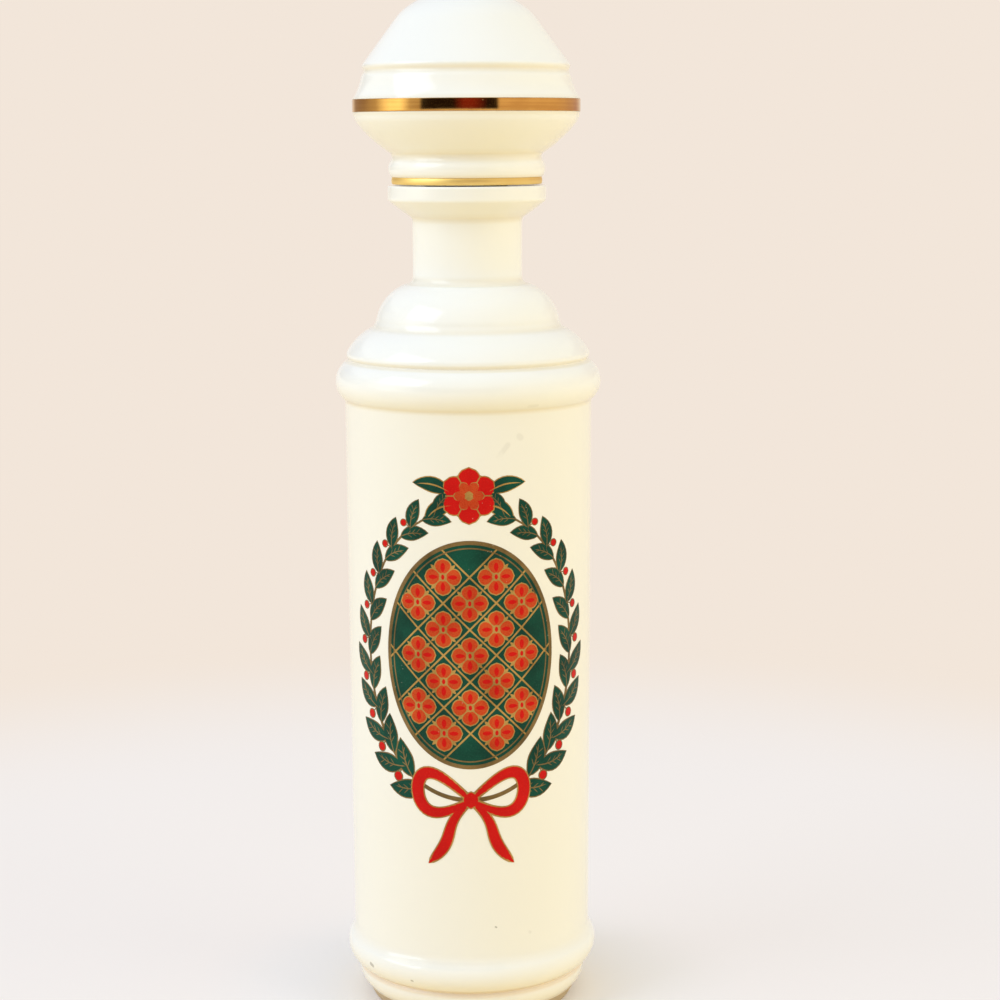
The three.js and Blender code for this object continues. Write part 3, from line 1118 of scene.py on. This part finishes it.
def fired_enamel(name, deep, bright, roughness, metallic=0.0):
    """Enamel from a screen print: its tone drifts, its grain shows close up, and it has tiny pinholes."""
    pinhole_colour = (0.8, 0.75, 0.65, 1)
    drift_scale = 110.0
    grain_scale = 2600.0
    pinhole_scale = 1400.0
    pinhole_share = 0.015
    pinhole_edge = 0.24
    pinhole_floor = 0.1
    pinhole_strength = 0.5
    grain_in_tone = 0.5
    deep_tone = 0.15
    bright_tone = 0.85
    grain_roughness = 0.12
    grain_height = 0.00001
    paint = Paint(name)
    drift = paint.noise(paint.place, drift_scale, detail=3.0, seed=1.0)
    grain = paint.noise(paint.place, grain_scale, detail=2.0, seed=2.0)
    cells = paint.node("ShaderNodeTexVoronoi", {}, {"Vector": paint.place, "Scale": pinhole_scale})
    chance = paint.node("ShaderNodeTexWhiteNoise", {}, {"Vector": cells["Position"]})
    pinholes = paint.rise(cells["Distance"], pinhole_edge, pinhole_floor) * (chance > 1 - pinhole_share)
    tone = paint.rise(drift + (grain - 0.5) * grain_in_tone, deep_tone, bright_tone)
    colour = paint.mix(tone, deep, bright)
    return paint.surface(
        {
            "Base Color": paint.mix(pinholes * pinhole_strength, colour, pinhole_colour),
            "Roughness": roughness + grain * grain_roughness,
            "Metallic": metallic,
            "Normal": paint.relief(grain - pinholes, grain_height),
            "Specular IOR Level": 0.16,
        }
    )


green = fired_enamel("green_enamel", (0.001, 0.032, 0.020, 1), (0.003, 0.080, 0.050, 1), roughness=0.2)
red = fired_enamel("red_enamel", (0.52, 0.002, 0.002, 1), (0.66, 0.006, 0.004, 1), roughness=0.2)
orange = fired_enamel("orange_enamel", (0.46, 0.035, 0.006, 1), (0.64, 0.085, 0.018, 1), roughness=0.22)
printed_gold = fired_enamel(
    "printed_gold", (0.30, 0.16, 0.04, 1), (0.62, 0.38, 0.11, 1), roughness=0.34, metallic=0.5
)
# A darker copy of the printed gold for the rims, stems and laurel gilding: its darkness is a painted dark
# reflection.
brown_gold = fired_enamel(
    "brown_gold", (0.11, 0.07, 0.025, 1), (0.30, 0.19, 0.07, 1), roughness=0.36, metallic=0.4
)


def enamelled(name, tree, plates, finish, **sizes):
    """Artwork in one colour, fired onto the barrel by one of the trees."""
    sizes = {size.replace("_", " ").title(): value for size, value in sizes.items()}
    artwork = made(name, tree, flat_mesh(name, plates), {**barrel, **sizes, "Finish": finish})
    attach(artwork, "decanter")


def filled_oval(middle, half_width, half_height, lift):
    """An oval field of enamel, in rows that climb it."""
    count = ceil(half_height * pi / 2 / row_spacing)
    turns = [pi * row / count for row in range(count + 1)]
    spine = [middle + Vector((0, -half_height * cos(turn))) for turn in turns]
    halves = [half_width * sin(turn) for turn in turns]
    points = []
    faces = []
    columns = ceil(2 * half_width / row_spacing)
    for place, half in zip(spine, halves):
        shares = [2 * column / columns - 1 for column in range(columns + 1)]
        row = [(place.x + half * share, -lift, place.y) for share in shares]
        points += row + [(across, enamel_root, up) for across, inwards, up in reversed(row)]
    size = 2 * (columns + 1)
    for row in range(count):
        for corner in range(size):
            following = (corner + 1) % size
            here = row * size
            faces.append((here + corner, here + following, here + size + following, here + size + corner))
    faces.append(range(size))
    faces.append(range(count * size, count * size + size))
    return points, faces


origin = Vector((0, 0))
medallion = Vector((0, medallion_height))


def trellis_lines():
    """The gilt lines of the trellis, each cut off where it meets the medallion's rim."""
    lines = []
    for way in (-1, 1):
        for number in range(-trellis_lines_each_way, trellis_lines_each_way):
            offset = (number + 0.5) * trellis_pitch
            # A point of the line is (across, offset - way * across), which meets the oval at two places.
            square = 1 / medallion_half_width ** 2 + 1 / medallion_half_height ** 2
            linear = -2 * way * offset / medallion_half_height ** 2
            constant = offset ** 2 / medallion_half_height ** 2 - 1
            discriminant = linear ** 2 - 4 * square * constant
            if discriminant > 0:
                ends = [(-linear + sign * sqrt(discriminant)) / (2 * square) for sign in (-1, 1)]
                start, end = (medallion + Vector((across, offset - way * across)) for across in ends)
                if (end - start).length > shortest_trellis_line:
                    lines.append(bar(start, end, trellis_half_width, line_lift))
    return lines


def medallion_rim(outset, half):
    """A line that follows the medallion's edge, this far outside it."""
    return oval(medallion, medallion_half_width + outset, medallion_half_height + outset, half, rim_lift)


outer_rim = medallion_rim(outer_rim_outset, outer_rim_half_width)
inner_rim = medallion_rim(-inner_rim_inset, inner_rim_half_width)
field = filled_oval(medallion, medallion_half_width, medallion_half_height, field_lift)
enamelled("medallion_field", laid, [field], green)
enamelled("medallion_trellis", laid, trellis_lines(), printed_gold)
enamelled("medallion_rims", laid, [outer_rim, inner_rim], brown_gold)

# Each whole cell of the trellis holds a rosette of four orange petals with red hearts. Gold outlines the
# petals, and makes the sepals between them and the ring round the eye.
rosettes_across = 9
rosette_reach = 0.9
rosette_radius = 5.7
petal_width = 4.9
petal_root = 0.9
sepal_root = 1.2
sepal_length = 4.4
sepal_width = 1.5
sepal_sink = 0.01
petal_heart_root = 1.6
petal_heart_length = 3.0
petal_heart_width = 1.7
eye_ring_radius = 1.35
eye_ring_rise = 0.01
eye_radius = 0.85
outline_edge = 0.35
petal_form = {"fullness": 0.55, "belly": 1.15}
quarters = [number * pi / 2 for number in range(4)]


def toward(direction, distance):
    """The place at this distance from the middle of a motif."""
    return Vector((sin(direction), cos(direction))) * distance


petal_length = rosette_radius - petal_root
petals = []
rosette_gilding = []
rosette_hearts = []
for quarter in quarters:
    petal = (toward(quarter, petal_root), quarter, petal_length, petal_width)
    petals.append(blade(*petal, petal_lift, **petal_form))
    rosette_gilding.append(edged(*petal, outline_lift, outline_edge, **petal_form))
    between = quarter + pi / 4
    sepal = (toward(between, sepal_root), between, sepal_length, sepal_width)
    rosette_gilding.append(blade(*sepal, outline_lift - sepal_sink))
    petal_heart = (toward(quarter, petal_heart_root), quarter, petal_heart_length, petal_heart_width)
    rosette_hearts.append(blade(*petal_heart, heart_lift, **petal_form))
rosette_gilding.append(disc(origin, eye_ring_radius, heart_lift + eye_ring_rise))
rosette_hearts.append(disc(origin, eye_radius, dot_lift))
in_trellis = {
    "count": rosettes_across,
    "pitch": trellis_pitch * millimetre,
    "half_width": medallion_half_width * rosette_reach * millimetre,
    "half_height": medallion_half_height * rosette_reach * millimetre,
    "middle_height": medallion_height * millimetre,
}
enamelled("rosette_petals", latticed, petals, orange, **in_trellis)
enamelled("rosette_gilding", latticed, rosette_gilding, printed_gold, **in_trellis)
enamelled("rosette_hearts", latticed, rosette_hearts, red, **in_trellis)

# Two laurel branches cross below the medallion and nearly meet above it. Their leaves are green with gilt
# edges and veins, and red berries stand between them on gilt stalks. That gilt and the stems are the darker
# gold, whose darkness is a painted dark reflection.
wreath_half_width = 37.0
wreath_half_height = 47.0
branch_taper = 0.3
stem_start = radians(-99)
stem_end = radians(76)
stem_half_width = 0.75
stem_thinning = 0.45
leaf_count = 21
first_leaf = radians(-66)
last_leaf = radians(73)
leaf_length = 13.0
leaf_width = 5.8
leaf_bend = 1.0
leaf_spread = radians(33)
leaf_edge = 0.4
leaf_form = {"bend": leaf_bend, "fullness": 0.85, "belly": 0.9}
midrib_root = -1.0
midrib_length = leaf_length * 0.92
midrib_width = 0.55
vein_shares = (0.28, 0.45, 0.62)
vein_spread = radians(38)
vein_length = 2.5
vein_width = 0.32
vein_fullness = 0.3
along_branch = {
    "half_width": wreath_half_width * millimetre,
    "half_height": wreath_half_height * millimetre,
    "middle_height": medallion_height * millimetre,
    "taper": branch_taper,
}
leaf = blade(origin, 0, leaf_length, leaf_width, petal_lift, **leaf_form)
leaf_gilding = [edged(origin, 0, leaf_length, leaf_width, outline_lift, leaf_edge, **leaf_form)]
midrib = (toward(0, midrib_root), 0, midrib_length, midrib_width)
leaf_gilding.append(blade(*midrib, heart_lift, bend=leaf_bend, fullness=vein_fullness))
for share in vein_shares:
    root = Vector((leaf_bend * sin(pi * share), leaf_length * share))
    for side in (-1, 1):
        vein = (root, side * vein_spread, vein_length, vein_width)
        leaf_gilding.append(blade(*vein, heart_lift, fullness=vein_fullness, rows=4))
leaves = {
    "count": leaf_count,
    "first_angle": first_leaf,
    "last_angle": last_leaf,
    "spread": leaf_spread,
    "alternation": 1.0,
    "unevenness": radians(4),
    "seed": 3,
}
enamelled("laurel_leaves", sprayed, [leaf], green, **along_branch, **leaves)
enamelled("laurel_leaf_gilding", sprayed, leaf_gilding, brown_gold, **along_branch, **leaves)

# The berries stand on short stalks along the outer side of each branch, a little unevenly, as they grow.
# Each is a round red spot on a gilt one that shows as its outline, in the darker gold with its painted dark
# reflection.
berry_count = 9
first_berry = radians(-52)
last_berry = radians(59)
berry_spread = radians(112)
berry_stalk = 4.3
berry_radius = 1.45
berry_edge = 0.35
stalk_half_width = 0.22
berry_place = Vector((0, berry_stalk))
berry = disc(berry_place, berry_radius, heart_lift)
berry_gilding = [
    disc(berry_place, berry_radius + berry_edge, petal_lift),
    bar(origin, berry_place, stalk_half_width, line_lift),
]
berries = {
    "count": berry_count,
    "first_angle": first_berry,
    "last_angle": last_berry,
    "spread": berry_spread,
    "alternation": 0.0,
    "unevenness": radians(6),
    "seed": 8,
}
enamelled("laurel_berries", sprayed, [berry], red, **along_branch, **berries)
enamelled("laurel_berry_gilding", sprayed, berry_gilding, brown_gold, **along_branch, **berries)


def branch(side):
    """One branch's stem, which thins towards its tip."""
    count = ceil((stem_end - stem_start) * wreath_half_height / row_spacing)
    spine = []
    halves = []
    for step in range(count + 1):
        share = step / count
        angle = stem_start + (stem_end - stem_start) * share
        across = side * wreath_half_width * cos(angle)
        spine.append(medallion + Vector((across, wreath_half_height * sin(angle))))
        halves.append(stem_half_width - stem_thinning * share)
    return plate(spine, halves, line_lift)


enamelled("laurel_stems", laid, [branch(-1), branch(1)], brown_gold)

# A double rose closes the wreath at the top, between two pairs of leaves. It is red with a smaller orange
# flower in the middle, and all its petals and leaves are outlined in printed gold.
rose_height = 175.0
rose_radius = 8.8
rose_petal_count = 6
rose_petal_root = 1.5
rose_petal_width = 6.6
inner_petal_root = 0.8
inner_petal_length = 3.9
inner_petal_width = 3.1
inner_petal_edge = 0.28
fold_start = 4.6
fold_end = 7.4
fold_half_width = 0.2
rose_eye_radius = 1.5
rose_eye_rise = 0.03
rose_leaf_sizes = ((radians(78), 12.0), (radians(118), 9.5))
rose_leaf_root = 6.4
rose_leaf_width = 4.6
rose_leaf_bend = 1.0
rose_leaf_edge = 0.33
rose_leaf_sink = 0.03
rose_midrib_share = 0.9
rose_midrib_width = 0.5
rose_midrib_sink = 0.02

rose = Vector((0, rose_height))
rose_petals = []
rose_inner_petals = []
rose_gilding = []
for number in range(rose_petal_count):
    direction = number * tau / rose_petal_count
    length = rose_radius - rose_petal_root
    petal = (rose + toward(direction, rose_petal_root), direction, length, rose_petal_width)
    rose_petals.append(blade(*petal, petal_lift, **petal_form))
    rose_gilding.append(edged(*petal, outline_lift, outline_edge, **petal_form))
    direction += pi / rose_petal_count
    petal = (rose + toward(direction, inner_petal_root), direction, inner_petal_length, inner_petal_width)
    rose_inner_petals.append(blade(*petal, dot_lift, **petal_form))
    rose_gilding.append(edged(*petal, heart_lift, inner_petal_edge, **petal_form))
    fold = (rose + toward(direction, fold_start), rose + toward(direction, fold_end))
    rose_gilding.append(bar(*fold, fold_half_width, heart_lift))
rose_gilding.append(disc(rose, rose_eye_radius, dot_lift + rose_eye_rise))
rose_leaves = []
for side in (-1, 1):
    for rise, length in rose_leaf_sizes:
        direction = side * rise
        root = rose + toward(direction, rose_leaf_root)
        bend = side * -rose_leaf_bend
        form = {"bend": bend, "fullness": 0.8, "belly": 0.85}
        rose_leaf = (root, direction, length, rose_leaf_width)
        rose_midrib = (root, direction, length * rose_midrib_share, rose_midrib_width)
        rose_leaves.append(blade(*rose_leaf, petal_lift - rose_leaf_sink, **form))
        rose_gilding.append(edged(*rose_leaf, outline_lift - rose_leaf_sink, rose_leaf_edge, **form))
        rose_gilding.append(blade(*rose_midrib, heart_lift - rose_midrib_sink, bend=bend))
enamelled("rose_leaves", laid, rose_leaves, green)
enamelled("rose_petals", laid, rose_petals, red)
enamelled("rose_inner_petals", laid, rose_inner_petals, orange)
enamelled("rose_gilding", laid, rose_gilding, printed_gold)

# A red ribbon bow ties the branches where they cross. Each half is a loop and a tail that waves as it hangs,
# and a flat knot covers the middle. Printed gold edges it all.
ribbon_lift = 0.17
ribbon_edge = 0.4
ribbon_edge_sink = 0.02
loop_steps = 32
loop_length = 17.5
loop_opening = 6.4
loop_rise = 3.0
loop_half_width = 0.8
loop_swell = 1.2
tail_steps = 20
tail_length = 21.5
tail_spread = 14.0
tail_wave = 1.3
tail_half_width = 0.9
tail_swell = 1.4
tail_point_sharpness = 7
knot_height = 5.2
knot_width = 4.6
knot_lift = ribbon_lift + 0.04
knot_edge = 0.35
knot = medallion + Vector((0, -wreath_half_height))


def ribbon_loop(side, lift, grow=0.0):
    """One loop of the bow, out from the knot and back to it."""
    spine = []
    halves = []
    for step in range(loop_steps + 1):
        turn = pi * step / loop_steps
        across = loop_length * sin(turn)
        up = loop_opening * sin(2 * turn) + loop_rise * sin(turn)
        spine.append(knot + Vector((side * across, up)))
        halves.append(loop_half_width + loop_swell * sin(turn) + grow)
    return plate(spine, halves, lift)


def ribbon_tail(side, lift, grow=0.0):
    """One tail of the bow, which waves as it hangs and ends in a point."""
    spine = []
    halves = []
    for step in range(tail_steps + 1):
        share = step / tail_steps
        across = tail_spread * share + tail_wave * sin(tau * share)
        pointed = (tail_half_width + tail_swell * share) * (1 - share ** tail_point_sharpness)
        spine.append(knot + Vector((side * across, -tail_length * share)))
        halves.append(pointed + (grow if step < tail_steps else 0))
    return plate(spine, halves, lift)


ribbon_cloth = []
ribbon_gilding = []
for side in (-1, 1):
    for part in (ribbon_loop, ribbon_tail):
        ribbon_cloth.append(part(side, ribbon_lift))
        ribbon_gilding.append(part(side, ribbon_lift - ribbon_edge_sink, ribbon_edge))
knot_form = {"fullness": 0.4, "belly": 1.0}
knot_plate = (knot + Vector((0, -knot_height / 2)), 0, knot_height, knot_width)
ribbon_cloth.append(blade(*knot_plate, knot_lift, **knot_form))
ribbon_gilding.append(edged(*knot_plate, knot_lift - ribbon_edge_sink, knot_edge, **knot_form))
enamelled("ribbon_bow", laid, ribbon_cloth, red)
enamelled("ribbon_gilding", laid, ribbon_gilding, printed_gold)

# The decanter stands on a pale sheet that runs back into an even, pale light. The sheet keeps its shadow,
# and throws a warm light up. A large cool lamp stands at the upper left, and a warm one at the right.
sheet_white = (0.97, 0.93, 0.91, 1)
sheet_warmth = (0.98, 0.75, 0.35, 1)
near_colour = (0.91, 0.85, 0.82, 1)
backdrop_colour = (0.89, 0.79, 0.70, 1)
sheet_lift = 0.68
contact_start = 0.04
contact_end = 0.10
sheet_radius = 3.0
fade_start = 0.26
fade_end = 0.52
room_light = 0.645
room_colour = (0.97, 0.985, 1, 1)
lamp_target = Vector((0, 0, 0.17))


def seen_directly(paint):
    """1 for what the camera sees itself, in a reflection or through glass, and 0 for the light on things."""
    path = paint.node("ShaderNodeLightPath")
    seen = path["Is Camera Ray"] + path["Is Glossy Ray"] + path["Is Transmission Ray"]
    return paint.math("MINIMUM", seen, 1.0)


def pale_sheet():
    """Pale matt cloth near the decanter, which fades into the colour of the backdrop further off."""
    paint = Paint("pale_sheet")
    distance = paint.vector("LENGTH", paint.place, output="Value")
    far = paint.rise(distance, fade_start, fade_end)
    light = paint.node("ShaderNodeEmission", {}, {"Color": paint.mix(far, near_colour, backdrop_colour)})
    cloth = paint.node("ShaderNodeBsdfDiffuse", {}, {"Color": sheet_white})
    lifted = paint.rise(distance, contact_start, contact_end) * sheet_lift + far * (1 - sheet_lift)
    shown = paint.node("ShaderNodeMixShader", {}, {0: lifted, 1: cloth, 2: light})
    bounce = paint.node("ShaderNodeBsdfDiffuse", {}, {"Color": sheet_warmth})
    sheet_shader = paint.node("ShaderNodeMixShader", {}, {0: seen_directly(paint), 1: bounce, 2: shown})
    return paint.finish_with(sheet_shader)


sheet_shell = bmesh.new()
bmesh.ops.create_circle(sheet_shell, cap_ends=True, segments=96, radius=sheet_radius)
sheet_mesh = bpy.data.meshes.new("sheet")
sheet_shell.to_mesh(sheet_mesh)
sheet_shell.free()
sheet = bpy.data.objects.new("sheet", sheet_mesh)
sheet_mesh.materials.append(pale_sheet())
bpy.context.scene.collection.objects.link(sheet)

world = bpy.data.worlds.new("even_light")
bpy.context.scene.world = world
world.use_nodes = True
world.node_tree.nodes.clear()
air = Graph(world.node_tree)
room = air.node("ShaderNodeBackground", {}, {"Color": room_colour, "Strength": room_light})
backdrop = air.node("ShaderNodeBackground", {}, {"Color": backdrop_colour})
sky = air.node("ShaderNodeMixShader", {}, {0: seen_directly(air), 1: room, 2: backdrop})
air.node("ShaderNodeOutputWorld", {}, {"Surface": sky})


def soft_lamp(name, place, width, height, power, colour, mirrored):
    """A large lamp behind a diffuser, aimed at the decanter, that shows in gloss only if it is mirrored."""
    light = bpy.data.lights.new(name, "AREA")
    light.shape = "RECTANGLE"
    light.size = width
    light.size_y = height
    light.energy = power
    light.color = colour
    lamp = bpy.data.objects.new(name, light)
    lamp.location = place
    lamp.rotation_euler = (lamp_target - Vector(place)).to_track_quat("-Z", "Y").to_euler()
    lamp.visible_camera = False
    lamp.visible_glossy = mirrored
    bpy.context.scene.collection.objects.link(lamp)


soft_lamp(
    "key_lamp",
    place=(-1.35, -0.6, 0.95),
    width=1.2,
    height=1.5,
    power=16.8,
    colour=(0.69, 0.83, 1),
    mirrored=True,
)
soft_lamp(
    "fill_lamp",
    place=(1.35, -0.6, 0.75),
    width=1.2,
    height=1.4,
    power=10.2,
    colour=(0.98, 1, 0.84),
    mirrored=False,
)

# A ring of screens stands round the decanter at the gilt band's height. Only reflections show it: a bright
# window at the left, a dark doorway with something dull red in it at the front, and plain walls elsewhere.
screen_radius = 0.62
screen_bottom = 0.245
screen_top = 0.46
screen_steps = 90


def room_round_it():
    """The room that the gilding mirrors, as a ramp of colours from behind, by the left, and round again."""
    behind = (0.86, 0.76, 0.67, 1)
    shade = (0.40, 0.30, 0.24, 1)
    wall = (0.62, 0.50, 0.38, 1)
    window = (1.6, 1.5, 1.2, 1)
    doorway = (0.018, 0.010, 0.008, 1)
    red_thing = (0.26, 0.03, 0.02, 1)
    right_wall = (0.86, 0.66, 0.50, 1)
    far_right = (0.62, 0.44, 0.42, 1)
    degrees_and_colours = [
        (-180, behind),
        (-158, behind),
        (-144, shade),
        (-122, shade),
        (-100, wall),
        (-80, window),
        (-68, window),
        (-56, wall),
        (-45.5, wall),
        (-44.5, doorway),
        (-12, doorway),
        (-2, red_thing),
        (6, red_thing),
        (20, doorway),
        (30, doorway),
        (31.5, right_wall),
        (100, right_wall),
        (140, far_right),
        (158, behind),
    ]
    stops = [(0.5 + degrees / 360, colour) for degrees, colour in degrees_and_colours]
    paint = Paint("room_round_it")
    sides = paint.sides(paint.place)
    turn = paint.math("ARCTAN2", sides["X"], 0 - sides["Y"]) / tau + 0.5
    colour = paint.node("ShaderNodeValToRGB", {"stops": stops}, {"Fac": turn})
    return paint.finish_with(paint.node("ShaderNodeEmission", {}, {"Color": colour}))


screen_points = []
screen_faces = []
for step in range(screen_steps + 1):
    turn = tau * step / screen_steps
    for height in (screen_bottom, screen_top):
        screen_points.append((screen_radius * sin(turn), -screen_radius * cos(turn), height))
    if step:
        corner = 2 * step
        screen_faces.append((corner - 2, corner - 1, corner + 1, corner))
screen_mesh = bpy.data.meshes.new("ring_of_screens")
screen_mesh.from_pydata(screen_points, [], screen_faces)
screen_mesh.materials.append(room_round_it())
screen = bpy.data.objects.new("ring_of_screens", screen_mesh)
screen.visible_camera = False
screen.visible_diffuse = False
screen.visible_transmission = False
screen.visible_shadow = False
bpy.context.scene.collection.objects.link(screen)
